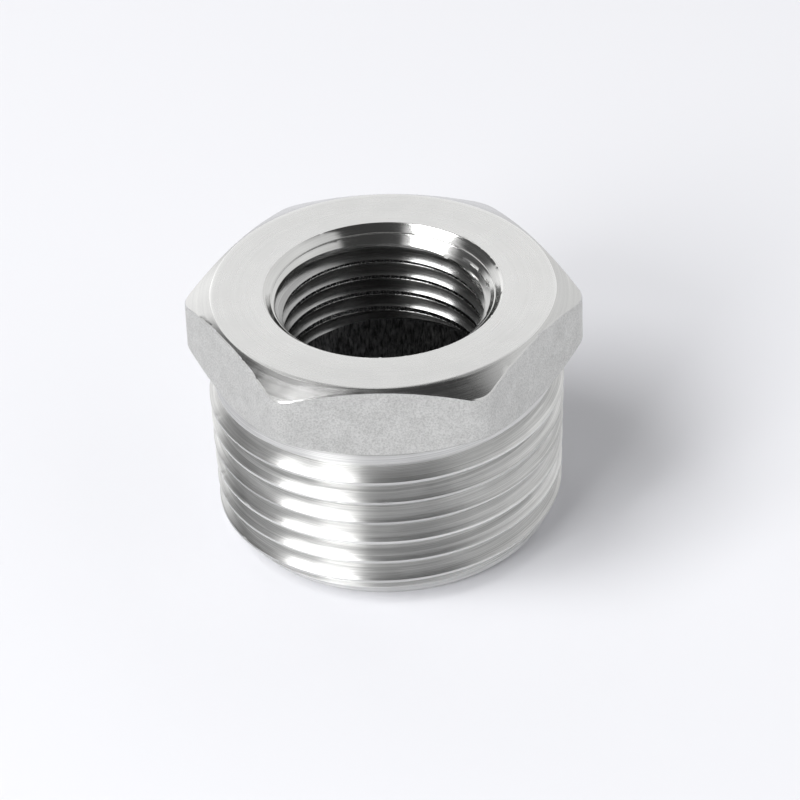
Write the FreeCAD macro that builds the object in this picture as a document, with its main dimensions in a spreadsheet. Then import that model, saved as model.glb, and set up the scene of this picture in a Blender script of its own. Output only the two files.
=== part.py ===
import FreeCAD, Part
import os

import Sketcher

# Hex bushing, 1 inch by 1/2 inch, in cast stainless steel.
#
# One solid piece. It stands on its thread end at z = 0, with its axis on +Z and the hexagon on top.
# A taper thread is cut on the outside of the shank, and the bore takes a smaller thread from the top.
# Two corners of the hexagon are on +X and -X, so that two of its flats face +Y and -Y.

PIECE = "hex_bushing"

# The sizes, in millimetres and degrees.
# Heights are measured up from the thread end, depths down from the top face.
SIZES = [
    ("total_height", 24.5, "thread end to top face"),
    ("hex_depth", 7.4, "where the hexagon's underside meets the shank"),
    ("hex_across_flats", 32.8, "hexagon across its flats"),
    ("hex_corner_radius", 2.5, "rounding of the hexagon's upright edges"),
    ("top_face_diameter", 32.1, "flat turned face on top of the hexagon"),
    ("top_slope", 26.0, "turned chamfer of the top, measured from the face"),
    ("underside_slope", 35.0, "turned chamfer under the hexagon, measured from the face"),
    ("land_relief", 0.6, "how far the plain band under the hexagon lies inside the crests"),
    ("land_depth", 8.6, "where the plain band ends"),
    ("thread_diameter", 33.249, "outside thread over its crests at the gauge height"),
    ("gauge_height", 10.4, "where the outside thread has its nominal diameter"),
    ("thread_taper", 16.0, "length in which the thread's diameter grows by one"),
    ("thread_pitch", 2.309, "11 threads to the inch"),
    ("crest_width", 0.385, "flat on the thread's crests"),
    ("root_width", 0.385, "flat in the thread's roots"),
    ("thread_angle", 55.0, "angle between the two flanks of the groove"),
    ("lowest_root_height", 2.16, "middle of the lowest whole root, on the +X side"),
    ("thread_end_depth", 8.15, "middle of the groove where it ends"),
    ("end_chamfer", 1.8, "how far the flat thread end lies inside the crests"),
    ("end_slope", 45.0, "chamfer of the thread end, measured from the axis"),
    ("mouth_depth", 1.7, "depth of the countersink in the mouth of the bore"),
    ("mouth_slope", 45.0, "countersink of the mouth, measured from the axis"),
    ("bore_diameter", 18.9, "bore over the crests of the inside thread"),
    ("bore_depth", 10.05, "where the threaded length of the bore ends"),
    ("core_wall", 3.3, "wall between the cast hollow and the thread's roots at the thread end"),
    ("core_roof_slope", 30.0, "slope of the hollow's roof, measured from the face"),
    ("core_chamfer", 0.5, "45 degree edge where the hollow opens at the thread end"),
]

doc = FreeCAD.newDocument(PIECE)
sheet = doc.addObject("Spreadsheet::Sheet", "Sizes")
for row, (name, value, meaning) in enumerate(SIZES, start=1):
    sheet.set(f"A{row}", meaning)
    sheet.set(f"B{row}", str(value))
    sheet.setAlias(f"B{row}", name)
doc.recompute()

# Formulas that more than one outline uses.
HEX_BOTTOM = "(Sizes.total_height - Sizes.hex_depth)"
CORNER_RADIUS = "(Sizes.hex_across_flats / 2 / cos(30 deg))"
RADIUS_GROWTH = "(1 / (2 * Sizes.thread_taper))"
CREST_AT_END = f"(Sizes.thread_diameter / 2 - Sizes.gauge_height * {RADIUS_GROWTH})"
FLANK = "tan(Sizes.thread_angle / 2 * 1 deg)"
GROOVE_WIDTH = "(Sizes.thread_pitch - Sizes.crest_width)"
THREAD_DEPTH = f"(({GROOVE_WIDTH} - Sizes.root_width) / 2 / {FLANK})"
GROOVE_START = "(Sizes.lowest_root_height - 2 * Sizes.thread_pitch)"
CREST_AT_START = f"({CREST_AT_END} + {GROOVE_START} * {RADIUS_GROWTH})"
LAND_BOTTOM = "(Sizes.total_height - Sizes.land_depth)"
CREST_AT_LAND = f"({CREST_AT_END} + {LAND_BOTTOM} * {RADIUS_GROWTH})"
LAND_RADIUS = f"({CREST_AT_LAND} - Sizes.land_relief)"
BORE_RADIUS = "(Sizes.bore_diameter / 2)"
MOUTH_RADIUS = f"({BORE_RADIUS} + Sizes.mouth_depth * tan(Sizes.mouth_slope * 1 deg))"
CORE_RADIUS = f"({CREST_AT_END} - {THREAD_DEPTH} - Sizes.core_wall)"

body = doc.addObject("PartDesign::Body", "HexBushing")
body.Label = PIECE
body.Placement = FreeCAD.Placement()


def plane(role):
    """One of the body's own base planes."""
    return next(p for p in body.Origin.OriginFeatures if p.Role == role)


def number(formula):
    """The value of a formula, to draw a line where its dimensions then hold it."""
    return float(sheet.evalExpression(formula))


def outline(name, corners):
    """A closed outline of straight lines on the upright plane through the axis.

    Each corner is a pair of formulas: its distance from the axis and its height.
    """
    sketch = body.newObject("Sketcher::SketchObject", name)
    sketch.AttachmentSupport = [(plane("XZ_Plane"), "")]
    sketch.MapMode = "FlatFace"
    points = [FreeCAD.Vector(number(x), number(z), 0) for x, z in corners]
    for start, end in zip(points, points[1:] + points[:1]):
        sketch.addGeometry(Part.LineSegment(start, end), False)
    for i, (x, z) in enumerate(corners):
        following = (i + 1) % len(corners)
        sketch.addConstraint(Sketcher.Constraint("Coincident", i, 2, following, 1))
        across = sketch.addConstraint(Sketcher.Constraint("DistanceX", -1, 1, i, 1, points[i].x))
        sketch.setExpression(f"Constraints[{across}]", x)
        up = sketch.addConstraint(Sketcher.Constraint("DistanceY", -1, 1, i, 1, points[i].y))
        sketch.setExpression(f"Constraints[{up}]", z)
    return sketch


def turned(kind, name, corners):
    """An outline turned once round the axis: a Revolution adds to the body, a Groove cuts it."""
    profile = outline(name + "Outline", corners)
    feature = body.newObject("PartDesign::" + kind, name)
    feature.Profile = profile
    feature.ReferenceAxis = (profile, ["V_Axis"])
    feature.Angle = 360
    return feature


def check_cut(feature, before, least):
    """Recomputes the body, and stops if the feature took off less than the least volume."""
    doc.recompute()
    after = feature.Shape.Volume
    if after <= 0 or before.Shape.Volume - after < least - 0.001:
        raise RuntimeError(f"{feature.Name} did not cut the body")


def add_hexagon():
    """The hexagon, with its upright edges rounded."""
    prism = body.newObject("PartDesign::AdditivePrism", "Hexagon")
    prism.Polygon = 6
    prism.AttachmentSupport = [(plane("XY_Plane"), "")]
    prism.MapMode = "FlatFace"
    prism.setExpression("AttachmentOffset.Base.z", HEX_BOTTOM)
    prism.setExpression("Circumradius", CORNER_RADIUS)
    prism.setExpression("Height", "Sizes.hex_depth")
    doc.recompute()
    upright = [
        f"Edge{i}"
        for i, edge in enumerate(prism.Shape.Edges, start=1)
        if abs(edge.tangentAt(edge.FirstParameter).z) > 0.99
    ]
    corners = body.newObject("PartDesign::Fillet", "HexagonCorners")
    corners.Base = (prism, upright)
    corners.setExpression("Radius", "Sizes.hex_corner_radius")


def add_shank():
    """The shank before its thread: chamfered end, cone of the crests, plain band at the top."""
    end_growth = "tan(Sizes.end_slope * 1 deg)"
    end_top = f"(Sizes.end_chamfer / ({end_growth} - {RADIUS_GROWTH}))"
    return turned("Revolution", "Shank", [
        ("0", "0"),
        (f"{CREST_AT_END} - Sizes.end_chamfer", "0"),
        (f"{CREST_AT_END} + {end_top} * {RADIUS_GROWTH}", end_top),
        (CREST_AT_LAND, LAND_BOTTOM),
        (LAND_RADIUS, LAND_BOTTOM),
        (LAND_RADIUS, HEX_BOTTOM),
        ("0", HEX_BOTTOM),
    ])


def cut_slope(name, inner_radius, height, direction, slope):
    """A turned slope over or under the hexagon's corners, which starts at inner_radius."""
    reach = f"({CORNER_RADIUS} + 1)"
    fall = f"({reach} - {inner_radius}) * tan({slope} * 1 deg)"
    return turned("Groove", name, [
        (inner_radius, height),
        (reach, height),
        (reach, f"{height} {direction} {fall}"),
    ])


def cut_thread():
    """The outside thread: one right-hand groove that winds up the cone of the crests.

    Its outline lies on the +X side, two turns below the lowest root, where it is clear of the
    shank. It goes past the crests by half the height in which they would run out to a point, so
    that no skin is left on them and neighbouring turns stay apart.
    """
    path = doc.addObject("Part::Helix", "ThreadPath")
    path.LocalCoord = "Right-handed"
    path.SegmentLength = 1
    path.setExpression("Pitch", "Sizes.thread_pitch")
    path.setExpression("Height", f"Sizes.total_height - Sizes.thread_end_depth - {GROOVE_START}")
    path.setExpression("Angle", f"atan({RADIUS_GROWTH})")
    path.setExpression("Radius", CREST_AT_START)
    path.setExpression("Placement.Base.z", GROOVE_START)
    past_crests = f"(Sizes.crest_width / 4 / {FLANK})"
    half_root = "Sizes.root_width / 2"
    half_outside = f"({GROOVE_WIDTH} / 2 + {past_crests} * {FLANK})"
    middle = "Sizes.thread_pitch"
    profile = outline("ThreadOutline", [
        (f"{CREST_AT_START} - {THREAD_DEPTH}", f"{middle} - {half_root}"),
        (f"{CREST_AT_START} + {past_crests}", f"{middle} - {half_outside}"),
        (f"{CREST_AT_START} + {past_crests}", f"{middle} + {half_outside}"),
        (f"{CREST_AT_START} - {THREAD_DEPTH}", f"{middle} + {half_root}"),
    ])
    profile.setExpression("AttachmentOffset.Base.y", f"{GROOVE_START} - {middle}")
    groove = body.newObject("PartDesign::SubtractivePipe", "Thread")
    groove.Profile = profile
    groove.Spine = (path, [])
    groove.Mode = "Frenet"
    return groove


def cut_bore():
    """The bore from top to bottom: countersink, threaded length and cast hollow."""
    bore_bottom = "(Sizes.total_height - Sizes.bore_depth)"
    roof_fall = f"({CORE_RADIUS} - {BORE_RADIUS}) * tan(Sizes.core_roof_slope * 1 deg)"
    return turned("Groove", "Bore", [
        ("0", "0"),
        (f"{CORE_RADIUS} + Sizes.core_chamfer", "0"),
        (CORE_RADIUS, "Sizes.core_chamfer"),
        (CORE_RADIUS, f"{bore_bottom} - {roof_fall}"),
        (BORE_RADIUS, bore_bottom),
        (BORE_RADIUS, "Sizes.total_height - Sizes.mouth_depth"),
        (MOUTH_RADIUS, "Sizes.total_height"),
        ("0", "Sizes.total_height"),
    ])


add_hexagon()
shank = add_shank()
top = cut_slope("TopSlope", "Sizes.top_face_diameter / 2", "Sizes.total_height", "-", "Sizes.top_slope")
check_cut(top, shank, 0)
under = cut_slope("Underside", LAND_RADIUS, HEX_BOTTOM, "+", "Sizes.underside_slope")
check_cut(under, top, 0)
thread = cut_thread()
check_cut(thread, under, 1)
bore = cut_bore()
check_cut(bore, thread, 1)

for item in doc.Objects:
    if "Invalid" in item.State or "Error" in item.State:
        raise RuntimeError(f"{item.Name} failed: {item.State}")
if body.Shape.isNull() or not body.Shape.isValid() or len(body.Shape.Solids) != 1:
    raise RuntimeError("the bushing is not one valid solid")

os.makedirs("parts", exist_ok=True)
body.Shape.exportStep(f"parts/{body.Label}.step")
box = body.Shape.optimalBoundingBox(True, False)
print(f"{body.Label}: {box.XLength:.2f} x {box.YLength:.2f} x {box.ZLength:.2f} mm")
print(f"volume {body.Shape.Volume:.0f} cubic mm, {len(body.Shape.Faces)} faces")
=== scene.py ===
# %% [markdown]
# # Hex bushing
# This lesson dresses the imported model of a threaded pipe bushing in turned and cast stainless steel.
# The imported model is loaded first, because it fixes the place and the size of everything that follows.

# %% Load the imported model
import math
import random

import bmesh
import bpy
from mathutils import Matrix, Quaternion, Vector


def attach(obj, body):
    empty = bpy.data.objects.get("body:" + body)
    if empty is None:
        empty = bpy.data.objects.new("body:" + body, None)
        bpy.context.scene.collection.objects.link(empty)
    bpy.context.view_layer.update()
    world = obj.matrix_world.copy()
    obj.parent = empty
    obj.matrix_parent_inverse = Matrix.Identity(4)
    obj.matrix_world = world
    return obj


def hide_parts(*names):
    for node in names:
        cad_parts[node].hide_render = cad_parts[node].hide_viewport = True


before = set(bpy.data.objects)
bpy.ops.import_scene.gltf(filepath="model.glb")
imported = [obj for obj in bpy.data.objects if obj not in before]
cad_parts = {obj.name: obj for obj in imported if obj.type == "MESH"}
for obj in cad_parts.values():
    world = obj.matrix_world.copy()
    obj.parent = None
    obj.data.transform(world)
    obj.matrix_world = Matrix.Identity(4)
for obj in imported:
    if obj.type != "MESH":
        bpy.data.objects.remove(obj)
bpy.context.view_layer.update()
MM = 0.001

# %% [markdown]
# ## The camera
# The object was photographed from above with a long lens, so its upright edges stay almost parallel.
# The camera stands on a line from the bushing and looks at a point just beside its middle.
# A small roll tips the picture as the photographer's hand did.

# %% Place the camera
CAMERA_DISTANCE = 429.5 * MM
CAMERA_AZIMUTH = math.radians(2.58)
CAMERA_ELEVATION = math.radians(35.73)
CAMERA_ROLL = math.radians(-2.2)
AIMED_BESIDE = 1.2 * MM
AIMED_HEIGHT = 11.67 * MM
DISTANCE_FROM_HEIGHT = 11 * MM
SENSOR_WIDTH = 36
LENS_TO_IMAGE = 4530 / 800

outward = Vector((math.sin(CAMERA_AZIMUTH) * math.cos(CAMERA_ELEVATION),
                  -math.cos(CAMERA_AZIMUTH) * math.cos(CAMERA_ELEVATION),
                  math.sin(CAMERA_ELEVATION)))
sideways = Vector((math.cos(CAMERA_AZIMUTH), math.sin(CAMERA_AZIMUTH), 0))
aim = sideways * AIMED_BESIDE + Vector((0, 0, AIMED_HEIGHT))
place = outward * CAMERA_DISTANCE + Vector((0, 0, DISTANCE_FROM_HEIGHT))

camera_data = bpy.data.cameras.new("camera")
camera_data.sensor_width = SENSOR_WIDTH
camera_data.lens = SENSOR_WIDTH * LENS_TO_IMAGE
camera_data.clip_start = 0.01
camera = bpy.data.objects.new("camera", camera_data)
camera.location = place
camera.rotation_mode = "QUATERNION"
camera.rotation_quaternion = (place - aim).to_track_quat("Z", "Y") @ Quaternion((0, 0, 1), CAMERA_ROLL)
bpy.context.scene.collection.objects.link(camera)
bpy.context.scene.camera = camera
bpy.context.scene.view_settings.view_transform = "Standard"
print("camera lens", round(camera_data.lens, 1), "mm, at", [round(v / MM, 1) for v in place])

# %% [markdown]
# ## A small helper for node trees
# Both threads are made by Geometry Nodes, and all finishes by shader nodes. Formulas in nodes are long
# chains of Math nodes. The helper below adds one Math node, and takes a number or a socket for each input.

# %% Helper: one Math node
def calc(tree, operation, *values, clamp=False):
    node = tree.nodes.new("ShaderNodeMath")
    node.operation = operation
    node.use_clamp = clamp
    for socket, value in zip(node.inputs, values):
        if isinstance(value, bpy.types.NodeSocket):
            tree.links.new(value, socket)
        else:
            socket.default_value = value
    return node.outputs[0]

# %% [markdown]
# ## The threads
# A thread is a ridge that winds round the shank, so its surface follows a rule: go once round, and it has
# moved along by one pitch. A flat grid is bent to that rule. Its columns go round the axis, and its rows
# climb with the helix, twelve to a pitch, so that they follow every crest, flank and root.
# Where the grid leaves the threaded length, it is pressed flat against the end, and the doubles are merged.
# The same steps build both threads: the outside one is cut into a cone, and the inside one into a straight
# bore. Each step is a short function, so that the formulas can be read one by one.

# %% Helper: an empty thread tree and its flat grid
COLUMNS = 360
ROWS_PER_PITCH = 12
THREAD_SIZES = ["Pitch", "Turns of rows", "Bottom", "Top", "Crest height", "Crest radius", "Crest growth",
                "Crest width", "Root width"]
CREST_GROWTH = 1 / 32
FLANK_SLOPE = math.tan(math.radians(27.5))


def start_tree(name):
    """A tree with one input for each size. Gives back the tree and the sockets of its inputs."""
    tree = bpy.data.node_groups.new(name, "GeometryNodeTree")
    tree.interface.new_socket("Material", in_out="INPUT", socket_type="NodeSocketMaterial")
    for label in THREAD_SIZES:
        tree.interface.new_socket(label, in_out="INPUT", socket_type="NodeSocketFloat")
    tree.interface.new_socket("Geometry", in_out="OUTPUT", socket_type="NodeSocketGeometry")
    return tree, tree.nodes.new("NodeGroupInput").outputs


def flat_grid(tree, turns_of_rows):
    """The grid, with the turn that each of its points has reached (0 to 1) and the number of its row."""
    rows = calc(tree, "MULTIPLY_ADD", turns_of_rows, ROWS_PER_PITCH, 1)
    last_row = calc(tree, "SUBTRACT", rows, 1)
    grid = tree.nodes.new("GeometryNodeMeshGrid")
    grid.inputs["Size X"].default_value = COLUMNS
    tree.links.new(last_row, grid.inputs["Size Y"])
    grid.inputs["Vertices X"].default_value = COLUMNS + 1
    tree.links.new(rows, grid.inputs["Vertices Y"])
    position = tree.nodes.new("GeometryNodeInputPosition")
    apart = tree.nodes.new("ShaderNodeSeparateXYZ")
    tree.links.new(position.outputs[0], apart.inputs[0])
    column = calc(tree, "ROUND", calc(tree, "ADD", apart.outputs[0], COLUMNS / 2))
    row = calc(tree, "ROUND", calc(tree, "ADD", apart.outputs[1], calc(tree, "DIVIDE", last_row, 2)))
    return grid.outputs["Mesh"], calc(tree, "DIVIDE", column, COLUMNS), row


def crest_cone(tree, given, height):
    """The radius of the crests at a height, before the part's outline limits it."""
    return calc(tree, "MULTIPLY_ADD", height, given["Crest growth"], given["Crest radius"])


def groove_form(tree, given):
    """How far a flank reaches along the axis, and how deep the whole groove is."""
    without_crest = calc(tree, "SUBTRACT", given["Pitch"], given["Crest width"])
    flank = calc(tree, "DIVIDE", calc(tree, "SUBTRACT", without_crest, given["Root width"]), 2)
    return flank, calc(tree, "DIVIDE", flank, FLANK_SLOPE)

# %% [markdown]
# The rows are not evenly spaced. Going away from the middle of a crest, row 1 lies just inside the crest's
# edge and row 2 a little way down the flank, so that the edge keeps a fine rounding. Rows 3 and 4 share the
# flank, row 5 is its foot, and row 6 is the middle of the root. Where the crests are cut off by a cone or
# by the drilled hole, they are wider, and the rows move apart with them.

# %% Helper: the height of each row
EDGE_ON_CREST = 0.03 * MM
EDGE_DEPTH = 0.10 * MM
MOST_TRIMMED = 0.8


def row_heights(tree, given, turn, row, limit):
    """The height of each grid point. limit(tree, radius, height) keeps a radius inside the part's outline."""
    pitch, crest_height = given["Pitch"], given["Crest height"]
    pitches_up = calc(tree, "DIVIDE", calc(tree, "SUBTRACT", crest_height, given["Bottom"]), pitch)
    pitches_down = calc(tree, "CEIL", calc(tree, "ADD", pitches_up, 1))
    lowest = calc(tree, "SUBTRACT", crest_height, calc(tree, "MULTIPLY", pitch, pitches_down))

    nearest = calc(tree, "ROUND", calc(tree, "DIVIDE", row, ROWS_PER_PITCH))
    near_crest = calc(tree, "MULTIPLY_ADD", pitch, calc(tree, "ADD", turn, nearest), lowest)
    flank, depth = groove_form(tree, given)
    crest_radius = crest_cone(tree, given, near_crest)
    cut_off = calc(tree, "SUBTRACT", crest_radius, limit(tree, crest_radius, near_crest))
    trimmed = calc(tree, "MINIMUM", calc(tree, "MULTIPLY", depth, MOST_TRIMMED),
                   calc(tree, "ABSOLUTE", cut_off))
    shoulder = calc(tree, "MULTIPLY", trimmed, FLANK_SLOPE)

    step = calc(tree, "PINGPONG", row, ROWS_PER_PITCH / 2)
    half_crest = calc(tree, "MULTIPLY_ADD", given["Crest width"], 0.5, shoulder)
    on_crest = calc(tree, "MULTIPLY", calc(tree, "SUBTRACT", half_crest, EDGE_ON_CREST),
                    calc(tree, "MINIMUM", step, 1))
    on_edge = calc(tree, "MULTIPLY", calc(tree, "SUBTRACT", step, 1, clamp=True),
                   EDGE_ON_CREST + EDGE_DEPTH * FLANK_SLOPE)
    slope_width = calc(tree, "SUBTRACT", calc(tree, "SUBTRACT", flank, shoulder), EDGE_DEPTH * FLANK_SLOPE)
    slope_share = calc(tree, "DIVIDE", calc(tree, "SUBTRACT", step, 2), 3, clamp=True)
    on_flank = calc(tree, "MULTIPLY", slope_width, slope_share)
    root_share = calc(tree, "MULTIPLY", calc(tree, "SUBTRACT", step, 5, clamp=True), 0.5)
    in_root = calc(tree, "MULTIPLY", given["Root width"], root_share)
    from_crest = calc(tree, "ADD", calc(tree, "ADD", on_crest, on_edge), calc(tree, "ADD", on_flank, in_root))

    above = calc(tree, "LESS_THAN", calc(tree, "MODULO", row, ROWS_PER_PITCH), ROWS_PER_PITCH / 2 + 0.5)
    signed = calc(tree, "MULTIPLY", from_crest, calc(tree, "MULTIPLY_ADD", above, 2, -1))
    rows_added = calc(tree, "SUBTRACT", ROWS_PER_PITCH, calc(tree, "MULTIPLY", above, ROWS_PER_PITCH))
    own_crest = calc(tree, "FLOOR", calc(tree, "DIVIDE", calc(tree, "ADD", row, rows_added), ROWS_PER_PITCH))
    height = calc(tree, "ADD", signed, calc(
        tree, "MULTIPLY_ADD", pitch, calc(tree, "ADD", turn, own_crest), lowest))
    return calc(tree, "MINIMUM", calc(tree, "MAXIMUM", height, given["Bottom"]), given["Top"])

# %% [markdown]
# The radius of a point follows from its height alone: how far it lies beside the nearest crest says how
# deep the groove is there. Then the grid is bent round the axis, its doubles are merged, and it gets its
# material.

# %% Helper: the thread tree
MERGE_WITHIN = 0.002 * MM
OUTWARDS, INWARDS = 1, -1


def groove_depths(tree, given, turn, height, kept):
    """The depth of the groove at each point. kept(tree, height, winding, turn) lets it fade at its end."""
    pitch = given["Pitch"]
    from_first = calc(tree, "SUBTRACT", height, given["Crest height"])
    winding = calc(tree, "SUBTRACT", calc(tree, "DIVIDE", from_first, pitch), turn)
    beside = calc(tree, "MULTIPLY", calc(tree, "PINGPONG", winding, 0.5), pitch)
    past_crest = calc(tree, "SUBTRACT", beside, calc(tree, "MULTIPLY", given["Crest width"], 0.5))
    flank, depth = groove_form(tree, given)
    cut = calc(tree, "MAXIMUM", calc(tree, "DIVIDE", past_crest, FLANK_SLOPE), 0)
    return calc(tree, "MULTIPLY", calc(tree, "MINIMUM", cut, depth), kept(tree, height, winding, turn))


def thread_tree(name, cut_direction, limit, kept):
    """A tree that bends a grid into a thread whose grooves are cut outwards or inwards."""
    tree, given = start_tree(name)
    grid, turn, row = flat_grid(tree, given["Turns of rows"])
    height = row_heights(tree, given, turn, row, limit)
    cut = groove_depths(tree, given, turn, height, kept)
    radius = calc(tree, "MULTIPLY_ADD", cut, cut_direction, crest_cone(tree, given, height))
    radius = limit(tree, radius, height)

    angle = calc(tree, "MULTIPLY", turn, 2 * math.pi)
    bent = tree.nodes.new("ShaderNodeCombineXYZ")
    tree.links.new(calc(tree, "MULTIPLY", radius, calc(tree, "COSINE", angle)), bent.inputs[0])
    tree.links.new(calc(tree, "MULTIPLY", radius, calc(tree, "SINE", angle)), bent.inputs[1])
    tree.links.new(height, bent.inputs[2])
    bend = tree.nodes.new("GeometryNodeSetPosition")
    tree.links.new(grid, bend.inputs["Geometry"])
    tree.links.new(bent.outputs[0], bend.inputs["Position"])
    merge = tree.nodes.new("GeometryNodeMergeByDistance")
    merge.inputs["Distance"].default_value = MERGE_WITHIN
    tree.links.new(bend.outputs[0], merge.inputs["Geometry"])
    realize = tree.nodes.new("GeometryNodeRealizeInstances")
    tree.links.new(merge.outputs[0], realize.inputs[0])
    painted = tree.nodes.new("GeometryNodeSetMaterial")
    tree.links.new(realize.outputs[0], painted.inputs["Geometry"])
    tree.links.new(given["Material"], painted.inputs["Material"])
    tree.links.new(painted.outputs[0], tree.nodes.new("NodeGroupOutput").inputs[0])
    return tree


def mesh_from_tree(tree, sizes):
    """Runs the tree on an empty object and gives back the mesh that it makes."""
    holder = bpy.data.objects.new(tree.name, bpy.data.meshes.new(tree.name))
    bpy.context.scene.collection.objects.link(holder)
    modifier = holder.modifiers.new("thread", "NODES")
    modifier.node_group = tree
    for item in tree.interface.items_tree:
        if item.in_out == "INPUT" and item.name in sizes:
            modifier[item.identifier] = sizes[item.name]
    seen = holder.evaluated_get(bpy.context.evaluated_depsgraph_get())
    mesh = bpy.data.meshes.new_from_object(seen)
    bpy.data.objects.remove(holder)
    print(tree.name, "has", len(mesh.vertices), "vertices and", len(mesh.polygons), "faces")
    return mesh

# %% [markdown]
# ### The outside thread
# This is a tapered pipe thread, so its crests lie on a cone whose radius grows by one part in thirty-two.
# At the free end it runs out into a chamfer, and under the hexagon into a plain land. The last groove
# fades away round the back and the left, where the cutting tool was drawn back.

# %% Outside thread
BODY_HEIGHT = 24.5 * MM
END_RADIUS = 14.4995 * MM
LAND_RADIUS = 16.196 * MM
LAND_LOW = 15.9 * MM
UNDERSIDE = 17.1 * MM
OUTSIDE_PITCH = 2.309 * MM
OUTSIDE_CREST = 14.861 * MM
OUTSIDE_RADIUS = 16.2995 * MM
GROOVE_FADES_FROM = 0.203
GROOVE_FADES_TO = 0.64


def within_shank(tree, radius, height):
    """Keeps the outside thread within the end chamfer and the land."""
    radius = calc(tree, "MINIMUM", radius, calc(tree, "ADD", height, END_RADIUS))
    step = calc(tree, "MAXIMUM", calc(tree, "SUBTRACT", LAND_LOW, height), 0)
    return calc(tree, "MINIMUM", radius, calc(tree, "ADD", step, LAND_RADIUS))


def fades_behind(tree, height, winding, turn):
    """The share of its depth that the outside groove keeps along its last turn."""
    turns_on = calc(tree, "ADD", calc(tree, "FLOOR", winding), turn)
    return calc(tree, "DIVIDE", calc(tree, "SUBTRACT", GROOVE_FADES_TO, turns_on),
                GROOVE_FADES_TO - GROOVE_FADES_FROM, clamp=True)


outside_skin = mesh_from_tree(thread_tree("outside_thread", INWARDS, within_shank, fades_behind), {
    "Pitch": OUTSIDE_PITCH, "Turns of rows": 9.0, "Bottom": 0.0, "Top": UNDERSIDE,
    "Crest height": OUTSIDE_CREST, "Crest radius": OUTSIDE_RADIUS, "Crest growth": CREST_GROWTH,
    "Crest width": 0.30 * MM, "Root width": 0.47 * MM})

# %% [markdown]
# ### The inside thread
# The bore takes a smaller pipe, so its thread is finer. The hole was drilled straight, and the tapered
# tap cut less and less into it on its way down, so the crests are flat and grow wider with depth.
# The first groove starts in the countersink of the mouth, and cuts into the cone on the right.

# %% Inside thread
BORE_RADIUS = 9.45 * MM
BORE_LOW = 14.45 * MM
COUNTERSINK_LOW = 22.8 * MM
INSIDE_TOP = 23.72 * MM
INSIDE_STARTS = 23.35 * MM
INSIDE_FADES_OVER = 0.15 * MM
INSIDE_PITCH = 1.814 * MM
INSIDE_CREST = 20.786 * MM
INSIDE_RADIUS = 8.705 * MM
INSIDE_CREST_WIDTH = 0.30 * MM


def within_bore(tree, radius, height):
    """Keeps the inside thread outside the drilled bore and the countersink above it."""
    lead = calc(tree, "MAXIMUM", calc(tree, "SUBTRACT", height, COUNTERSINK_LOW), 0)
    return calc(tree, "MAXIMUM", radius, calc(tree, "ADD", lead, BORE_RADIUS))


def fades_in_mouth(tree, height, winding, turn):
    """The share of its depth that the inside groove has in the countersink."""
    return calc(tree, "DIVIDE", calc(tree, "SUBTRACT", INSIDE_STARTS, height), INSIDE_FADES_OVER, clamp=True)


inside_skin = mesh_from_tree(thread_tree("inside_thread", OUTWARDS, within_bore, fades_in_mouth), {
    "Pitch": INSIDE_PITCH, "Turns of rows": 7.0, "Bottom": BORE_LOW, "Top": INSIDE_TOP,
    "Crest height": INSIDE_CREST, "Crest radius": INSIDE_RADIUS, "Crest growth": CREST_GROWTH,
    "Crest width": INSIDE_CREST_WIDTH, "Root width": 0.30 * MM})

# %% [markdown]
# ## The body between the threads
# Hexagon, top face, mouth and hollow are rows of points round the axis, one point for each column of the
# threads, so that one closed skin runs from the outside thread over the hexagon and through the bore.
# Beside every edge lies a second row at a tenth of a millimetre. It holds the surface flat up to the
# edge and leaves a fine rounding, which catches the light as the real edge does.

# %% Helper: points round the axis
ACROSS_FLATS = 32.8 * MM
CORNER_RADIUS = 2.5 * MM
CORNER_STEPS = 8
FLAT_STEPS = COLUMNS // 6 - 2 * CORNER_STEPS


def circle(radius, height):
    """A row of even points on a circle round the axis, one on each column."""
    return [Vector((radius * math.cos(a), radius * math.sin(a), height))
            for a in (2 * math.pi * i / COLUMNS for i in range(COLUMNS))]


def hexagon():
    """The outline of the hexagon: corners on the X axis, rounded, with most points on their arcs."""
    reach = (ACROSS_FLATS / 2 - CORNER_RADIUS) / math.cos(math.pi / 6)

    def on_arc(corner, step):
        """A point on the arc of a corner, which runs from step -CORNER_STEPS to CORNER_STEPS."""
        middle = math.pi / 3 * corner
        a = middle + math.pi / 6 * step / CORNER_STEPS
        centre = Vector((reach * math.cos(middle), reach * math.sin(middle)))
        return centre + CORNER_RADIUS * Vector((math.cos(a), math.sin(a)))

    points = []
    for corner in range(6):
        flat_start, flat_end = on_arc(corner, CORNER_STEPS), on_arc(corner + 1, -CORNER_STEPS)
        points += [on_arc(corner, step) for step in range(CORNER_STEPS + 1)]
        points += [flat_start.lerp(flat_end, s / FLAT_STEPS) for s in range(1, FLAT_STEPS + 1)]
        points += [on_arc(corner + 1, step) for step in range(1 - CORNER_STEPS, 0)]
    return points


hexagon_outline = hexagon()
print("hexagon:", len(hexagon_outline), "points, across corners",
      round(2 * max(p.length for p in hexagon_outline) / MM, 2), "mm")

# %% [markdown]
# The underside and the top of the hexagon are turned to cones. So the lower and the upper edge of each flat
# are curves, low at the corners on top and high at the corners below. A row on a cone only needs its
# distance from the axis, and the cone gives the height.

# %% Helpers: rows on the hexagon
TOP_FACE_RADIUS = 16.05 * MM
TOP_SLOPE = math.tan(math.radians(26))
UNDERSIDE_SLOPE = math.tan(math.radians(35))


def on_top_cone(x, y, lift=0.0):
    """The point of the turned chamfer on top that stands over x and y."""
    return Vector((x, y, BODY_HEIGHT - (math.hypot(x, y) - TOP_FACE_RADIUS) * TOP_SLOPE + lift))


def on_underside(x, y, lift=0.0):
    """The point of the turned underside that stands over x and y."""
    return Vector((x, y, UNDERSIDE + (math.hypot(x, y) - LAND_RADIUS) * UNDERSIDE_SLOPE + lift))


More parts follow.
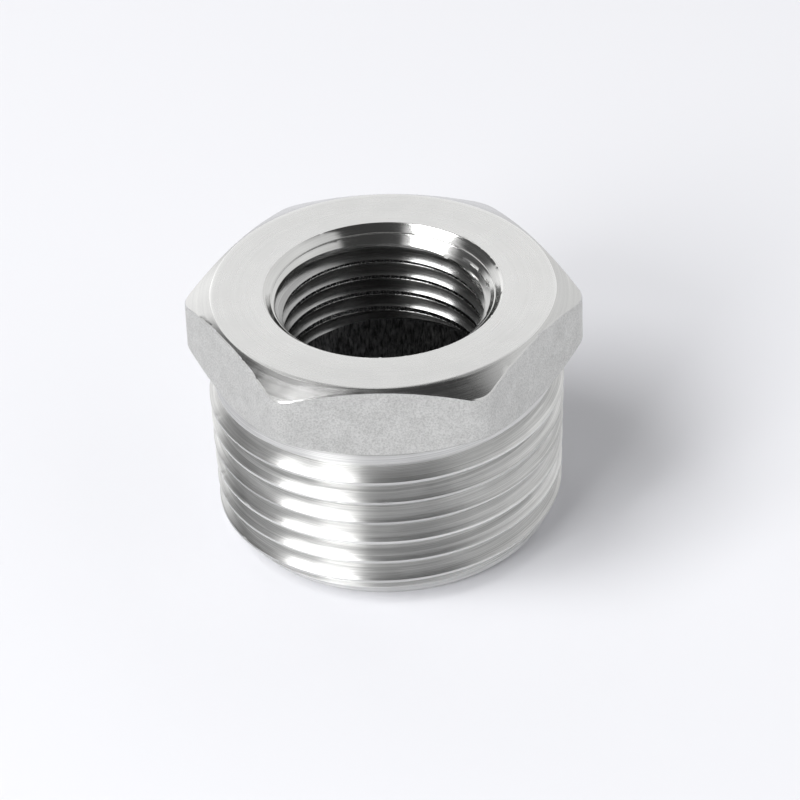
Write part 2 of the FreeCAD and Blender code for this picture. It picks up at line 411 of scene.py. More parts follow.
def between(share, inner_radius, surface):
    """A row on a cone, part of the way from a circle out to the hexagon."""
    row = []
    for i, corner in enumerate(hexagon_outline):
        a = 2 * math.pi * i / COLUMNS
        inner = Vector((inner_radius * math.cos(a), inner_radius * math.sin(a)))
        at = inner.lerp(corner, share)
        row.append(surface(at.x, at.y))
    return row


def shrunk(amount, surface, lift=0.0):
    """The hexagon's outline, drawn in towards the axis by an amount, on a cone or on the flats."""
    row = []
    for corner in hexagon_outline:
        at = corner * (1 - amount / corner.length)
        row.append(surface(at.x, at.y, lift))
    return row

# %% Helper: wear on the edges
AWAY_FROM_CORNERS = range(15, 46)
ALL_ROUND = (0, COLUMNS)
FRONT_LEFT_FLAT = (190, 230)


def nicked(row, seed, count, depth, span):
    """The same row with a few small dents in the middle of the flats, at places fixed by the seed."""
    dice = random.Random(seed)
    row = [p.copy() for p in row]
    for _ in range(count):
        middle, size = dice.randrange(*span), depth * dice.uniform(0.3, 1.0)
        if middle % (COLUMNS // 6) not in AWAY_FROM_CORNERS:
            continue
        for shift, share in ((-1, 0.4), (0, 1.0), (1, 0.4)):
            p = row[(middle + shift) % COLUMNS]
            inwards = Vector((p.x, p.y, 0)).normalized() * size * share
            p -= inwards + Vector((0, 0, 0.5 * size * share))
    return row


def worn(row):
    """Small nicks all round, and a few deeper ones on the flat at the front left."""
    row = nicked(row, seed=5, count=36, depth=0.06 * MM, span=ALL_ROUND)
    return nicked(row, seed=6, count=9, depth=0.12 * MM, span=FRONT_LEFT_FLAT)

# %% Rows of the flats
BEVEL = 0.10 * MM
HOLDING = 0.30 * MM
FLAT_ROWS = 10

low_edge = shrunk(0, on_underside, HOLDING)
high_edge = shrunk(0, on_top_cone, -HOLDING)
cast_rows = [
    between(0.03, LAND_RADIUS, on_underside),
    between(0.5, LAND_RADIUS, on_underside),
    shrunk(HOLDING, on_underside),
    shrunk(BEVEL, on_underside),
    shrunk(0, on_underside, BEVEL),
    low_edge,
]
cast_rows += [[a.lerp(b, k / FLAT_ROWS) for a, b in zip(low_edge, high_edge)] for k in range(1, FLAT_ROWS)]
cast_rows += [high_edge, worn(shrunk(0, on_top_cone, -BEVEL))]
print("flats:", len(cast_rows), "rows")

# %% [markdown]
# The chamfer cone starts only a third of a millimetre inside the middle of each flat, so its rows there lie
# close together. The top face has a row of points every millimetre or so, so that its shading stays even.
# Its outer points stand where the hexagon's points stand, and they turn to the even columns on the way in.

# %% Rows of the chamfer and the top face
MOUTH_RADIUS = 11.15 * MM
RIM_ROUNDING = 0.05 * MM


def cone_row(share):
    """A row on the chamfer, from the hexagon's upper edge, 0, to the rim of the top face, 1."""
    row = []
    for p in hexagon_outline:
        start = p.length - min(BEVEL, 0.3 * (p.length - TOP_FACE_RADIUS))
        radius = start + (TOP_FACE_RADIUS - start) * share
        direction = p.normalized()
        row.append(on_top_cone(direction.x * radius, direction.y * radius))
    return row


def face_row(radius, turned_to_columns):
    """A circle on the top face, whose points stand as the hexagon's do, 0, or on the even columns, 1."""
    row = []
    for i, p in enumerate(hexagon_outline):
        a = 2 * math.pi * i / COLUMNS
        direction = p.normalized().lerp(Vector((math.cos(a), math.sin(a))), turned_to_columns).normalized()
        row.append(Vector((direction.x * radius, direction.y * radius, BODY_HEIGHT)))
    return row


chamfer_rows = [worn(cone_row(0))] + [cone_row(share) for share in (0.06, 0.35, 0.7, 0.94)]
face_rows = [face_row(TOP_FACE_RADIUS - RIM_ROUNDING, 0), face_row(TOP_FACE_RADIUS - HOLDING, 0),
             face_row(14.8 * MM, 0.35), face_row(13.4 * MM, 0.7), face_row(12 * MM, 1.0),
             circle(MOUTH_RADIUS + HOLDING, BODY_HEIGHT)]
print("chamfer and face:", len(chamfer_rows), "and", len(face_rows), "rows")

# %% [markdown]
# The tool left small burrs and dents on the rim of the mouth. Below the rim, the countersink has a fine step
# all round, where two cuts meet.

# %% Rows of the mouth
STEP_RADIUS = 10.42 * MM
STEP_HEIGHT = BODY_HEIGHT - (MOUTH_RADIUS - STEP_RADIUS)
STEP_FORM = ((0.09, 0.08), (0.085, 0.02), (0.0, 0.005), (-0.01, -0.03))

rim_burrs = [0.0] * COLUMNS
dice = random.Random(11)
for _ in range(34):
    rim_burrs[dice.randrange(COLUMNS)] = dice.uniform(-0.10, 0.07) * MM
rim = circle(MOUTH_RADIUS + RIM_ROUNDING, BODY_HEIGHT)
for p, burr in zip(rim, rim_burrs):
    p.xy *= 1 + burr / p.xy.length
mouth_rows = [circle(MOUTH_RADIUS - inset * MM, BODY_HEIGHT - inset * MM) for inset in (0.05, 0.2, 0.4, 0.52)]
mouth_rows += [circle(STEP_RADIUS + out * MM, STEP_HEIGHT + up * MM) for out, up in STEP_FORM]
print("mouth:", len(mouth_rows), "rows,", sum(1 for burr in rim_burrs if burr), "burrs and dents on its rim")

# %% [markdown]
# Below the bore the casting is hollow. A cone leads from the bore out to a straight wall, and the wall ends
# in a small chamfer at the end face that the bushing stands on.

# %% Rows of the hollow and the end face
CORE_RADIUS = 11.52 * MM
CORE_OPENING = 12.02 * MM
ROOF_SLOPE = math.tan(math.radians(30))


def roof(radius):
    """The height of the hollow's sloping roof at a distance from the axis."""
    return BORE_LOW - (radius - BORE_RADIUS) * ROOF_SLOPE


hollow_rows = [
    circle(10.5 * MM, roof(10.5 * MM)),
    circle(11.2 * MM, roof(11.2 * MM)),
    circle(CORE_RADIUS - 0.06 * MM, roof(CORE_RADIUS) + 0.03 * MM),
    circle(CORE_RADIUS, roof(CORE_RADIUS) - 0.1 * MM),
]
hollow_rows += [circle(CORE_RADIUS, z * MM) for z in (12.4, 10.5, 8.5, 6.5, 4.5, 2.5, 0.8)]
hollow_rows += [circle(CORE_RADIUS + 0.02 * MM, 0.48 * MM), circle(CORE_OPENING - 0.04 * MM, 0.04 * MM)]
end_rows = [circle(radius, 0) for radius in (
    CORE_OPENING + 0.03 * MM, CORE_OPENING + HOLDING, 13.2 * MM, END_RADIUS - HOLDING)]
print("hollow:", len(hollow_rows), "rows, end face:", len(end_rows), "rows")

# %% [markdown]
# ## Finishes
# The bushing is cast in stainless steel and blasted, and then the thread, the top face and the bore are
# turned. So it has two kinds of surface: fine turning lines, and the even grain of the casting. Both effects
# are shader node groups, because several materials use each of them with values of their own.

# %% Helpers: shader nodes
def new_group(name, inputs, outputs):
    group = bpy.data.node_groups.new(name, "ShaderNodeTree")
    for label, value in inputs:
        group.interface.new_socket(label, in_out="INPUT", socket_type="NodeSocketFloat").default_value = value
    for label in outputs:
        group.interface.new_socket(label, in_out="OUTPUT", socket_type="NodeSocketFloat")
    return group, group.nodes.new("NodeGroupInput").outputs, group.nodes.new("NodeGroupOutput").inputs


def object_place(tree):
    return tree.nodes.new("ShaderNodeTexCoord").outputs["Object"]


def noise(tree, vector, scale, detail, roughness=0.5):
    node = tree.nodes.new("ShaderNodeTexNoise")
    node.inputs["Scale"].default_value = scale
    node.inputs["Detail"].default_value = detail
    node.inputs["Roughness"].default_value = roughness
    tree.links.new(vector, node.inputs["Vector"])
    return node.outputs["Fac"]


def spread(tree, value, low, high, to_low, to_high):
    """Maps a value's range onto another one, held at its ends."""
    node = tree.nodes.new("ShaderNodeMapRange")
    for socket, number in zip(node.inputs[1:5], (low, high, to_low, to_high)):
        socket.default_value = number
    tree.links.new(value, node.inputs["Value"])
    return node.outputs["Result"]


def combined(tree, x, y, z):
    """A vector of three sockets or numbers."""
    node = tree.nodes.new("ShaderNodeCombineXYZ")
    for socket, value in zip(node.inputs, (x, y, z)):
        if isinstance(value, bpy.types.NodeSocket):
            tree.links.new(value, socket)
        else:
            socket.default_value = value
    return node.outputs[0]

# %% [markdown]
# ### Turning lines
# A lathe tool leaves one fine line for each turn. On a plain face the lines are circles, and on a thread they
# follow the helix. The group measures each point's distance from the axis and its height along the helix,
# and reads noise there that is very fine across the lines and very slow along them. An angle has a seam
# where it starts again, so the front half reads an angle with its seam behind, and the back half reads one
# with its seam in front.

# %% Group: turning lines
lines_group, given, wanted = new_group(
    "turning_lines", [("Pitch", 0.0), ("Lines per mm", 14.0), ("Waviness", 0.2)],
    ["Lines", "Bands", "Patches", "Along"])
where = object_place(lines_group)
axes = lines_group.nodes.new("ShaderNodeSeparateXYZ")
lines_group.links.new(where, axes.inputs[0])
x_mm, y_mm, z_mm = (calc(lines_group, "MULTIPLY", axes.outputs[k], 1 / MM) for k in range(3))
squares = [calc(lines_group, "MULTIPLY", value, value) for value in (x_mm, y_mm)]
radius_mm = calc(lines_group, "SQRT", calc(lines_group, "ADD", *squares))
slow = noise(lines_group, combined(lines_group, x_mm, y_mm, z_mm), 0.35, 1.0)
waves = calc(lines_group, "MULTIPLY", slow, given["Waviness"])
BANDS_PER_MM = 1.9
SEAM_BLEND = 0.15


def wound(side):
    """What the lines look like with the angle's seam behind, for a side of 1, or in front, for -1."""
    angle = calc(lines_group, "ARCTAN2", calc(lines_group, "MULTIPLY", x_mm, side),
                 calc(lines_group, "MULTIPLY", y_mm, -side))
    climbed = calc(lines_group, "MULTIPLY", calc(lines_group, "MULTIPLY", angle, given["Pitch"]),
                   1 / (2 * math.pi))
    along_mm = calc(lines_group, "SUBTRACT", z_mm, climbed)
    wavy_mm = calc(lines_group, "ADD", along_mm, waves)
    fine = combined(lines_group, calc(lines_group, "MULTIPLY", radius_mm, given["Lines per mm"]),
                    calc(lines_group, "MULTIPLY", wavy_mm, given["Lines per mm"]),
                    calc(lines_group, "MULTIPLY", angle, 0.8))
    wide = combined(lines_group, calc(lines_group, "MULTIPLY", radius_mm, BANDS_PER_MM),
                    calc(lines_group, "MULTIPLY", along_mm, BANDS_PER_MM),
                    calc(lines_group, "MULTIPLY", angle, 0.25))
    return {"Lines": noise(lines_group, fine, 1.0, 2.0, 0.6), "Bands": noise(lines_group, wide, 1.0, 2.0),
            "Along": along_mm}


front, back = wound(1), wound(-1)
behind = spread(lines_group, calc(lines_group, "DIVIDE", y_mm, radius_mm), -SEAM_BLEND, SEAM_BLEND, 0, 1)
for label in ("Lines", "Bands"):
    step = calc(lines_group, "SUBTRACT", back[label], front[label])
    lines_group.links.new(calc(lines_group, "MULTIPLY_ADD", step, behind, front[label]), wanted[label])
lines_group.links.new(back["Along"], wanted["Along"])
lines_group.links.new(noise(lines_group, where, 420.0, 3.0, 0.55), wanted["Patches"])
print("group", lines_group.name, "with", len(lines_group.nodes), "nodes")

# %% [markdown]
# ### Casting grain
# The blasted casting is covered in tiny even dents, with a few larger, softer ones. Dark specks sit where a
# dent is deep. Object coordinates keep the grain the same size on every face.

# %% Group: casting grain
grain_group, given, wanted = new_group(
    "casting_grain", [("Grains per mm", 4.0)], ["Dents", "Specks", "Patches"])
where = object_place(grain_group)
scaled = grain_group.nodes.new("ShaderNodeVectorMath")
scaled.operation = "SCALE"
grain_group.links.new(where, scaled.inputs[0])
grain_group.links.new(calc(grain_group, "MULTIPLY", given["Grains per mm"], 1 / MM), scaled.inputs["Scale"])
fine = noise(grain_group, scaled.outputs[0], 1.0, 3.0, 0.6)
coarse = noise(grain_group, scaled.outputs[0], 0.32, 2.0)
cells = grain_group.nodes.new("ShaderNodeTexVoronoi")
cells.inputs["Scale"].default_value = 0.8
grain_group.links.new(scaled.outputs[0], cells.inputs["Vector"])
mixed = calc(grain_group, "MULTIPLY_ADD", coarse, 0.8, fine)
dents = calc(grain_group, "MULTIPLY_ADD", cells.outputs["Distance"], 0.5, mixed)
grain_group.links.new(dents, wanted["Dents"])
grain_group.links.new(spread(grain_group, fine, 0.40, 0.66, 0.0, 1.0), wanted["Specks"])
grain_group.links.new(noise(grain_group, scaled.outputs[0], 0.09, 3.0, 0.55), wanted["Patches"])
print("group", grain_group.name, "with", len(grain_group.nodes), "nodes")

# %% [markdown]
# ### The materials
# All are bare metal. What tells them apart is the group that they read and how strongly it moves the
# colour, the roughness and the bump. The turned surfaces also stretch their highlights across the lines.

# %% Helper: a metal
def metal(name, anisotropy=0.0):
    material = bpy.data.materials.new(name)
    material.use_nodes = True
    tree = material.node_tree
    shader = tree.nodes["Principled BSDF"]
    shader.inputs["Metallic"].default_value = 1.0
    if anisotropy:
        shader.inputs["Anisotropic"].default_value = anisotropy
        shader.inputs["Anisotropic Rotation"].default_value = 0.25
        tangent = tree.nodes.new("ShaderNodeTangent")
        tangent.direction_type = "RADIAL"
        tangent.axis = "Z"
        tree.links.new(tangent.outputs[0], shader.inputs["Tangent"])
    return material, tree, shader


def placed(tree, group, **values):
    """Places a node group in a material. A space in the name of an input is written as an underscore."""
    node = tree.nodes.new("ShaderNodeGroup")
    node.node_tree = group
    for label, value in values.items():
        node.inputs[label.replace("_", " ")].default_value = value
    return node.outputs


def shaded(tree, shader, value, dark, pale):
    """Colours the metal between a dark and a pale tone."""
    mix = tree.nodes.new("ShaderNodeMix")
    mix.data_type = "RGBA"
    mix.inputs["A"].default_value = (*dark, 1)
    mix.inputs["B"].default_value = (*pale, 1)
    tree.links.new(value, mix.inputs["Factor"])
    tree.links.new(mix.outputs["Result"], shader.inputs["Base Color"])


def bumped(tree, shader, height, strength, distance):
    bump = tree.nodes.new("ShaderNodeBump")
    bump.inputs["Strength"].default_value = strength
    bump.inputs["Distance"].default_value = distance
    tree.links.new(height, bump.inputs["Height"])
    tree.links.new(bump.outputs[0], shader.inputs["Normal"])

# %% Helper: a turned metal
WAVINESS = 0.12


def turned_metal(name, anisotropy, pitch, lines_per_mm, dark, pale, roughness, bump_depth):
    """A lathe-turned finish. pitch is 0 where the lines are plain circles."""
    material, tree, shader = metal(name, anisotropy)
    lines = placed(tree, lines_group, Pitch=pitch / MM, Lines_per_mm=lines_per_mm,
                   Waviness=WAVINESS if pitch else 0.0)
    tone = calc(tree, "MULTIPLY_ADD", lines["Bands"], 0.5, calc(tree, "MULTIPLY", lines["Lines"], 0.5))
    shaded(tree, shader, spread(tree, tone, 0.3, 0.7, 0, 1), dark, pale)
    uneven = calc(tree, "ADD", lines["Lines"], lines["Patches"])
    tree.links.new(spread(tree, uneven, 0.7, 1.3, *roughness), shader.inputs["Roughness"])
    bumped(tree, shader, calc(tree, "ADD", lines["Bands"], lines["Lines"]), 0.5, bump_depth)
    print("material", name)
    return material

# %% Materials: turned surfaces
thread_steel = turned_metal("thread_steel", anisotropy=0.97, pitch=OUTSIDE_PITCH, lines_per_mm=16.0,
                            dark=(0.40, 0.40, 0.394), pale=(0.98, 0.98, 0.966),
                            roughness=(0.28, 0.40), bump_depth=0.009 * MM)
bore_steel = turned_metal("bore_steel", anisotropy=0.8, pitch=INSIDE_PITCH, lines_per_mm=16.0,
                          dark=(0.34, 0.34, 0.337), pale=(0.60, 0.60, 0.595),
                          roughness=(0.17, 0.27), bump_depth=0.004 * MM)
mouth_steel = turned_metal("mouth_steel", anisotropy=0.2, pitch=0.0, lines_per_mm=12.0,
                           dark=(0.62, 0.62, 0.61), pale=(0.76, 0.76, 0.75),
                           roughness=(0.10, 0.17), bump_depth=0.002 * MM)
face_steel = turned_metal("face_steel", anisotropy=0.2, pitch=0.0, lines_per_mm=9.0,
                          dark=(0.84, 0.84, 0.83), pale=(0.92, 0.92, 0.91),
                          roughness=(0.24, 0.32), bump_depth=0.0015 * MM)
chamfer_steel = turned_metal("chamfer_steel", anisotropy=0.2, pitch=0.0, lines_per_mm=9.0,
                             dark=(0.58, 0.58, 0.575), pale=(0.70, 0.70, 0.69),
                             roughness=(0.16, 0.26), bump_depth=0.002 * MM)

# %% [markdown]
# Between the grooves of the bore the drilled wall is left as a narrow land. It is rough and dark, with torn
# specks. The tap pushed up a fine lip along its lower edge, which is drawn here as a bump. The height along
# the helix gives the distance from the land's middle. Half the land's width follows from the thread: it is
# the crest's half width, and what the hole cut off the flank beside it.

# %% Material: drilled land
land_steel, tree, shader = metal("land_steel", 0.6)
lines = placed(tree, lines_group, Pitch=INSIDE_PITCH / MM, Lines_per_mm=16.0, Waviness=WAVINESS)
turns_to_crest = INSIDE_CREST / INSIDE_PITCH + 1 / 4
turns_up = calc(tree, "MULTIPLY_ADD", lines["Along"], MM / INSIDE_PITCH, 0.5 - turns_to_crest)
from_middle = calc(tree, "MULTIPLY", calc(tree, "SUBTRACT", calc(tree, "FRACT", turns_up), 0.5),
                   INSIDE_PITCH / MM)
place_axes = tree.nodes.new("ShaderNodeSeparateXYZ")
where = object_place(tree)
tree.links.new(where, place_axes.inputs[0])
half_at_zero = INSIDE_CREST_WIDTH / 2 + FLANK_SLOPE * (BORE_RADIUS - INSIDE_RADIUS)
half_land = calc(tree, "MULTIPLY_ADD", place_axes.outputs[2], -FLANK_SLOPE * CREST_GROWTH / MM,
                 half_at_zero / MM)
above_edge = calc(tree, "ADD", from_middle, half_land)
lip = spread(tree, above_edge, 0.0, 0.10, 1, 0)
torn = noise(tree, where, 7.0 / MM, 2.0, 0.6)
shaded(tree, shader, spread(tree, torn, 0.42, 0.62, 0, 1), (0.14, 0.14, 0.139), (0.50, 0.50, 0.495))
tree.links.new(spread(tree, torn, 0.4, 0.65, 0.16, 0.30), shader.inputs["Roughness"])
bumped(tree, shader, calc(tree, "MULTIPLY_ADD", torn, 0.25, lip), 1.0, 0.06 * MM)
print("material", land_steel.name)

# %% Material: blasted casting
cast_steel, tree, shader = metal("cast_steel")
grain = placed(tree, grain_group, Grains_per_mm=6.5)
patchy = calc(tree, "MULTIPLY_ADD", grain["Patches"], 0.4, 0.62)
tone = calc(tree, "SUBTRACT", patchy, calc(tree, "MULTIPLY", grain["Specks"], 0.34))
shaded(tree, shader, tone, (0.29, 0.29, 0.281), (0.72, 0.72, 0.70))
tree.links.new(spread(tree, grain["Dents"], 0.6, 1.6, 0.38, 0.60), shader.inputs["Roughness"])
bumped(tree, shader, grain["Dents"], 0.8, 0.03 * MM)
print("material", cast_steel.name)

# %% Material: cast hollow, darkened with painted shade
core_steel_painted_shade, tree, shader = metal("core_steel_painted_shade")
grain = placed(tree, grain_group, Grains_per_mm=2.2)
drawn = tree.nodes.new("ShaderNodeMapping")
drawn.inputs["Scale"].default_value = (4.0 / MM, 4.0 / MM, 1.0 / MM)
tree.links.new(object_place(tree), drawn.inputs["Vector"])
upright = noise(tree, drawn.outputs[0], 1.0, 3.0, 0.65)
tone = calc(tree, "MULTIPLY", upright, calc(tree, "MULTIPLY_ADD", grain["Patches"], 0.6, 0.7))
# The hollow's colour runs down to almost black: painted shade of the closed hollow, laid over the casting's
# own upright grain.
shaded(tree, shader, spread(tree, tone, 0.38, 0.75, 0, 1), (0.04, 0.04, 0.04), (0.34, 0.34, 0.337))
tree.links.new(spread(tree, grain["Dents"], 0.6, 1.6, 0.35, 0.60), shader.inputs["Roughness"])
bumped(tree, shader, calc(tree, "ADD", grain["Dents"], upright), 0.6, 0.05 * MM)
print("material", core_steel_painted_shade.name)

# %% [markdown]
# ## Joining the skin
# The two threads and the rows between them become one closed surface. The open rings of each thread are
# found by the edges that have one face, sorted by their angle, and bridged to the rows, column by column.

# %% Helper: rings and bridges
MATERIALS = [thread_steel, bore_steel, face_steel, chamfer_steel, cast_steel, core_steel_painted_shade, mouth_steel,
             land_steel]
THREAD, BORE, FACE, CHAMFER, CAST, CORE, MOUTH, LAND = range(8)
skin = bmesh.new()


def column_of(point):
    """The number of the column that a point of the skin stands on."""
    return round(math.atan2(point.co.y, point.co.x) / (2 * math.pi) * COLUMNS) % COLUMNS


def take_in(mesh):
    """Adds a thread to the skin and gives back its faces, its lower open ring and its upper one."""
    old_points, old_faces = set(skin.verts), set(skin.faces)
    skin.from_mesh(mesh)
    open_points = [v for v in skin.verts if v not in old_points and any(
        len(e.link_faces) == 1 for e in v.link_edges)]
    heights = [v.co.z for v in open_points]
    middle = (min(heights) + max(heights)) / 2
    low = sorted((v for v in open_points if v.co.z < middle), key=column_of)
    high = sorted((v for v in open_points if v.co.z >= middle), key=column_of)
    return [face for face in skin.faces if face not in old_faces], low, high


def bridge(lower, upper, material):
    """Joins two rings by a band of faces."""
    for i in range(COLUMNS):
        j = (i + 1) % COLUMNS
        skin.faces.new((lower[i], lower[j], upper[j], upper[i])).material_index = material


def add_rows(ring, rows, material):
    """Bridges rows of points onto a ring, and gives back the last ring."""
    for row in rows:
        new_ring = [skin.verts.new(p) for p in row]
        bridge(ring, new_ring, material)
        ring = new_ring
    return ring

# %% [markdown]
# The bore has three finishes. Where its wall lies on the drilled hole it was left uncut, and is a land. Where
# it lies on the countersink it belongs to the mouth. All else was cut by the tap.

# %% Take in both threads
UNCUT_WITHIN = 0.02 * MM


def bore_finish(face):
    """Which of the three finishes a face of the bore has."""
    beyond_wall = [math.hypot(v.co.x, v.co.y) - BORE_RADIUS for v in face.verts]
    beyond_cone = [max(v.co.z - COUNTERSINK_LOW, 0) for v in face.verts]
    if any(abs(wall - cone) >= UNCUT_WITHIN for wall, cone in zip(beyond_wall, beyond_cone)):
        return BORE
    return MOUTH if max(beyond_cone) > 0 else LAND


outside_faces, outside_low, outside_high = take_in(outside_skin)
inside_faces, inside_low, inside_high = take_in(inside_skin)
for face in outside_faces:
    face.material_index = THREAD
for face in inside_faces:
    face.material_index = bore_finish(face)
print("rings:", [len(ring) for ring in (outside_low, outside_high, inside_low, inside_high)])

# %% [markdown]
# The crests of the outside thread are the first to be knocked when bushings lie together in a bin, so one
# point in forty-five on them is pushed in a little.

# %% Nick the crests
POINTS_PER_NICK = 45


def on_a_crest(point):
    """Whether a point lies on a whole crest, away from the thread end and the land."""
    if not 1 * MM < point.co.z < LAND_LOW - 1 * MM:
        return False
    return math.hypot(point.co.x, point.co.y) > OUTSIDE_RADIUS - 0.01 * MM + point.co.z * CREST_GROWTH


dice = random.Random(3)
crest_points = sorted(filter(on_a_crest, skin.verts),
                      key=lambda v: (round(v.co.z, 7), round(v.co.x, 7), round(v.co.y, 7)))
nicked_points = dice.sample(crest_points, len(crest_points) // POINTS_PER_NICK)
for point in nicked_points:
    size = dice.uniform(0.02, 0.09) * MM
    point.co -= Vector((point.co.x, point.co.y, 0)).normalized() * size
    point.co.z -= dice.uniform(-0.6, 1.0) * size
print("nicks:", len(nicked_points))

# %% Close the skin
ring = add_rows(outside_high, cast_rows, CAST)
ring = add_rows(ring, chamfer_rows, CHAMFER)
ring = add_rows(ring, face_rows + [rim], FACE)
ring = add_rows(ring, mouth_rows, MOUTH)
bridge(ring, inside_high, MOUTH)
ring = add_rows(inside_low, hollow_rows, CORE)
ring = add_rows(ring, end_rows, CHAMFER)
bridge(ring, outside_low, CHAMFER)
bmesh.ops.dissolve_degenerate(skin, dist=1e-7, edges=skin.edges)
bmesh.ops.recalc_face_normals(skin, faces=skin.faces)
volume = skin.calc_volume(signed=True)
if volume < 0:
    bmesh.ops.reverse_faces(skin, faces=skin.faces)
open_edges = sum(1 for e in skin.edges if len(e.link_faces) != 2)
print("open edges:", open_edges, "volume", round(abs(volume) / MM ** 3), "cubic mm")

# %% [markdown]
# ## The finished piece
# The skin becomes one mesh. Edges that turn by more than 25 degrees stay crisp, and all others are smooth.

# %% Make the piece
bushing_mesh = bpy.data.meshes.new("bushing")
skin.to_mesh(bushing_mesh)
skin.free()
for material in MATERIALS:
    bushing_mesh.materials.append(material)
for polygon in bushing_mesh.polygons:
    polygon.use_smooth = True
bushing_mesh.set_sharp_from_angle(angle=math.radians(25))
bushing = bpy.data.objects.new("bushing", bushing_mesh)
bpy.context.scene.collection.objects.link(bushing)
for leftover in (outside_skin, inside_skin):
    bpy.data.meshes.remove(leftover)
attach(bushing, "root")
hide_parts("hex_bushing")
bushing_mesh.calc_loop_triangles()
print("bushing:", len(bushing_mesh.loop_triangles), "triangles")

# %% [markdown]
# ## Floor and light
# Bare metal shows only what stands around it, so most of its look comes from the room. The walls here are
# pale, and the ceiling is darker. A large white softbox hangs on the left and gives the soft shadow, and a
# lower one at the front left lights the thread. A dark panel hangs overhead and out over the camera, and
# four round cards stand about. They give the metal its contrast, as a photographer does for shiny things.

# %% Floor
floor_mesh = bpy.data.meshes.new("floor")
floor_mesh.from_pydata([(-3, -3, 0), (3, -3, 0), (3, 3, 0), (-3, 3, 0)], [], [(0, 1, 2, 3)])
floor = bpy.data.objects.new("floor", floor_mesh)
bpy.context.scene.collection.objects.link(floor)
floor_material = bpy.data.materials.new("floor_paper")
floor_material.use_nodes = True
floor_shader = floor_material.node_tree.nodes["Principled BSDF"]
floor_shader.inputs["Base Color"].default_value = (0.835, 0.838, 0.87, 1)
floor_shader.inputs["Roughness"].default_value = 0.9
floor_shader.inputs["Specular IOR Level"].default_value = 0.0
floor_mesh.materials.append(floor_material)
print("floor laid at z = 0")

# %% Room
world = bpy.data.worlds.new("room")
bpy.context.scene.world = world
world.use_nodes = True
room = world.node_tree


def towards(azimuth, elevation):
    """A direction from the bushing: azimuth turns from +X towards +Y, elevation rises from the floor."""
    a, e = math.radians(azimuth), math.radians(elevation)
    return Vector((math.cos(a) * math.cos(e), math.sin(a) * math.cos(e), math.sin(e)))


looking = room.nodes.new("ShaderNodeTexCoord").outputs["Generated"]
room_axes = room.nodes.new("ShaderNodeSeparateXYZ")
room.links.new(looking, room_axes.inputs[0])
ramp = room.nodes.new("ShaderNodeValToRGB")
room.links.new(room_axes.outputs[2], ramp.inputs["Fac"])
WALL_TONES = [(0.0, 0.90), (0.62, 0.88), (0.80, 0.64), (0.92, 0.44), (1.0, 0.38)]
while len(ramp.color_ramp.elements) < len(WALL_TONES):
    ramp.color_ramp.elements.new(1.0)
for element, (position, tone) in zip(ramp.color_ramp.elements, WALL_TONES):
    element.position = position
    element.color = (tone, tone, tone, 1)
print("room with", len(WALL_TONES), "wall tones")

# %% [markdown]
# Each card is a round patch of the room with a soft edge: full within one angle of its middle, and gone
# beyond another. The panel is a patch of the ceiling with four edges, the left one bent. They are drawn on a
# flat sheet above the bushing: across is to the right of it and ahead is away from the camera, both per unit
# of height.

# %% Cards and the dark panel
CARDS = [
    ("pale card on the right", towards(35, 38), 14, 24, 0.84),
    ("bright card at the back on the left", towards(122, 18), 9, 19, 1.25),
    ("dark card on the left", towards(157, 37), 17, 27, 0.08),
    ("grey card in front", towards(283, 30), 15, 25, 0.45),
]
PANEL_TONE = 0.05
PANEL_SOFTNESS = 0.05


def laid_over(tones, label, share, tone):
    """Lays an even tone over the room's tones, where the share is 1."""
    mix = room.nodes.new("ShaderNodeMix")
    mix.data_type = "RGBA"
    mix.label = label
    room.links.new(share, mix.inputs["Factor"])
    room.links.new(tones, mix.inputs["A"])
    mix.inputs["B"].default_value = (tone, tone, tone, 1)
    return mix.outputs["Result"]


tones = ramp.outputs["Color"]
for label, direction, full_within, gone_beyond, tone in CARDS:
    facing = room.nodes.new("ShaderNodeVectorMath")
    facing.operation = "DOT_PRODUCT"
    room.links.new(looking, facing.inputs[0])
    facing.inputs[1].default_value = direction
    share = room.nodes.new("ShaderNodeMapRange")
    share.interpolation_type = "SMOOTHSTEP"
    share.inputs["From Min"].default_value = math.cos(math.radians(gone_beyond))
    share.inputs["From Max"].default_value = math.cos(math.radians(full_within))
    room.links.new(facing.outputs["Value"], share.inputs["Value"])
    tones = laid_over(tones, label, share.outputs["Result"], tone)

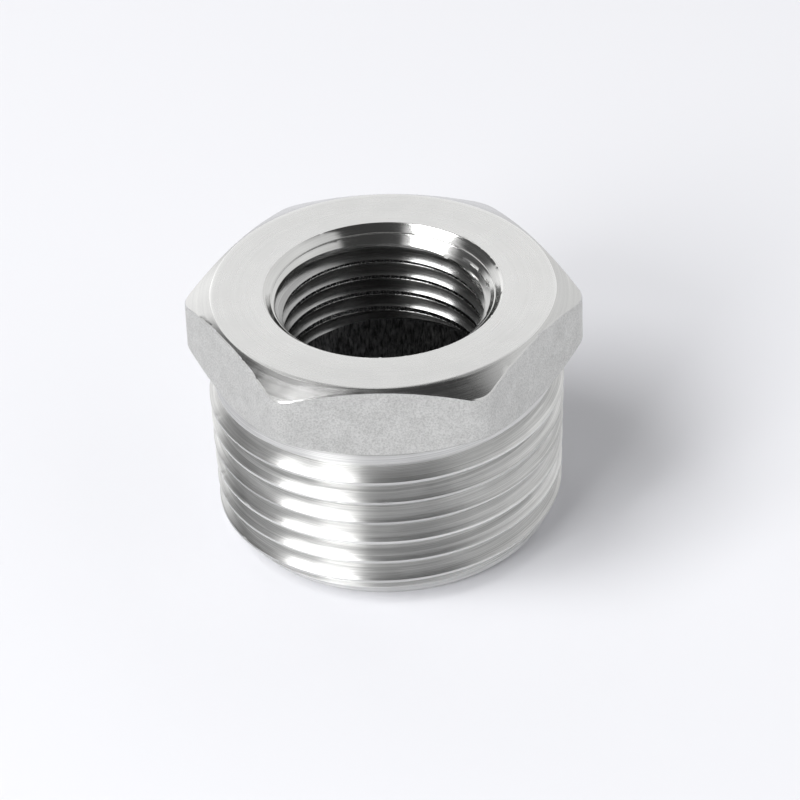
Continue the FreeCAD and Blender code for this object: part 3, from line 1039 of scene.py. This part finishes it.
up = calc(room, "MAXIMUM", room_axes.outputs[2], 0.05)
across = calc(room, "DIVIDE", room_axes.outputs[0], up)
ahead = calc(room, "DIVIDE", room_axes.outputs[1], up)
left_edge = calc(room, "MULTIPLY_ADD", calc(room, "MINIMUM", ahead, 0), 0.22, -0.186)
right_edge = calc(room, "MULTIPLY_ADD", ahead, -0.34, 0.50)
inside_by = [
    calc(room, "SUBTRACT", across, left_edge),
    calc(room, "SUBTRACT", right_edge, across),
    calc(room, "MULTIPLY", calc(room, "SUBTRACT", 1.0, ahead), 0.4),
    calc(room, "MULTIPLY", calc(room, "ADD", ahead, 3.2), 0.15),
]
in_panel = 1.0
for distance in inside_by:
    in_panel = calc(room, "MULTIPLY", in_panel, spread(room, distance, -PANEL_SOFTNESS, PANEL_SOFTNESS, 0, 1))
tones = laid_over(tones, "dark panel overhead", in_panel, PANEL_TONE)
room.links.new(tones, room.nodes["Background"].inputs["Color"])
print("hung", len(CARDS), "cards and a panel in the room")

# %% Lamps
WATTS_PER_AREA = 4
AIM_HEIGHT = 12 * MM


def softbox(name, direction, long_side, distance, width, height, radiance):
    """A rectangular lamp that looks at the bushing. Its power follows from its size and brightness."""
    data = bpy.data.lights.new(name, "AREA")
    data.shape = "RECTANGLE"
    data.size, data.size_y = width, height
    data.energy = radiance * WATTS_PER_AREA * width * height
    lamp = bpy.data.objects.new(name, data)
    lamp.location = direction * distance + Vector((0, 0, AIM_HEIGHT))
    short_side = long_side.cross(direction).normalized()
    lamp.rotation_mode = "QUATERNION"
    turned = Matrix((short_side, direction.cross(short_side), direction)).transposed()
    lamp.rotation_quaternion = turned.to_quaternion()
    bpy.context.scene.collection.objects.link(lamp)
    print(name, "power", round(data.energy, 2), "W")


softbox("softbox_left", towards(201.6, 55.9), long_side=Vector((0.36, 0.83, 0.42)), distance=1.2,
        width=0.58, height=0.67, radiance=5.4)
softbox("softbox_low", towards(234, 30), long_side=Vector((0, 0, 1)), distance=1.2,
        width=0.5, height=0.46, radiance=6.6)
